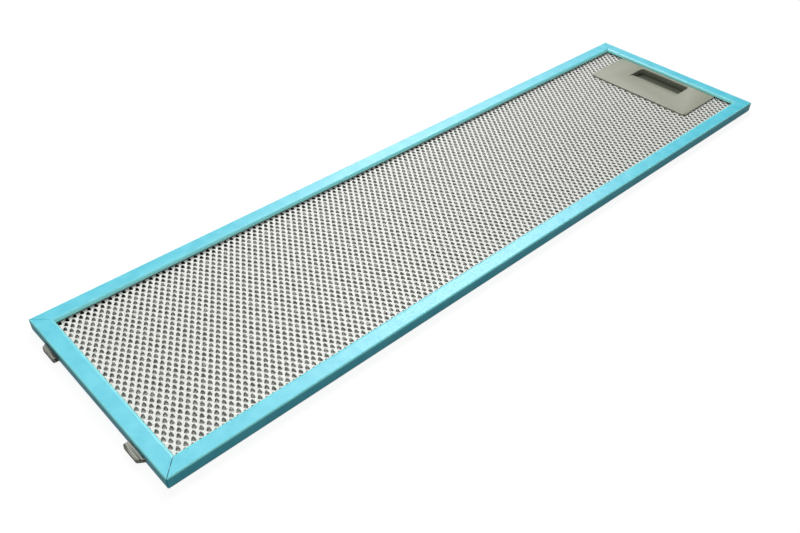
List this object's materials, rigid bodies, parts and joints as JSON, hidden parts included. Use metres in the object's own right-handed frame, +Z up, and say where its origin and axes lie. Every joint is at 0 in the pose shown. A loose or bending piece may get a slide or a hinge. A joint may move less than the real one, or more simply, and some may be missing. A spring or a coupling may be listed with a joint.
{
  "type": "cooker hood grease filter",
  "caption": "Slim metal mesh grease filter for a cooker hood, with a folded channel frame, a finger handle at one end and sprung leaf catches at the other.",
  "frame": {"origin": "middle of the whole footprint, frame and catches together, on the underside", "axes": "+X along the filter from the leaf catches to the handle, +Y across it, +Z up from the underside to the face with the handle"},
  "size_m": [0.564, 0.15, 0.008],
  "materials": {
    "film_covered_frame": "glossy light blue protective film over aluminium strip",
    "outer_mesh": "bright expanded sheet",
    "inner_mesh": "fine expanded foil",
    "handle_plastic": "fine moulded grain",
    "bare_aluminium": "mill finish",
    "spring_steel": "plain spring steel"
  },
  "bodies": {
    "filter": {"frame": "film_covered_frame", "corner_key": "bare_aluminium", "bottom_mesh": "outer_mesh", "inner_mesh_1": "inner_mesh", "inner_mesh_2": "inner_mesh", "inner_mesh_3": "inner_mesh", "top_mesh": "outer_mesh", "handle": "handle_plastic", "backing_bar": "bare_aluminium"},
    "near_catch": {"leaf_catch_near": "spring_steel"},
    "far_catch": {"leaf_catch_far": "spring_steel"}
  },
  "joints": [
    {"name": "near_catch_press", "type": "slide", "parent": "filter", "child": "near_catch", "axis": [1, 0, 0], "range_m": [0, 0.0035], "stiffness_N_per_m": 1500},
    {"name": "far_catch_press", "type": "slide", "parent": "filter", "child": "far_catch", "axis": [1, 0, 0], "range_m": [0, 0.0035], "stiffness_N_per_m": 1500}
  ]
}
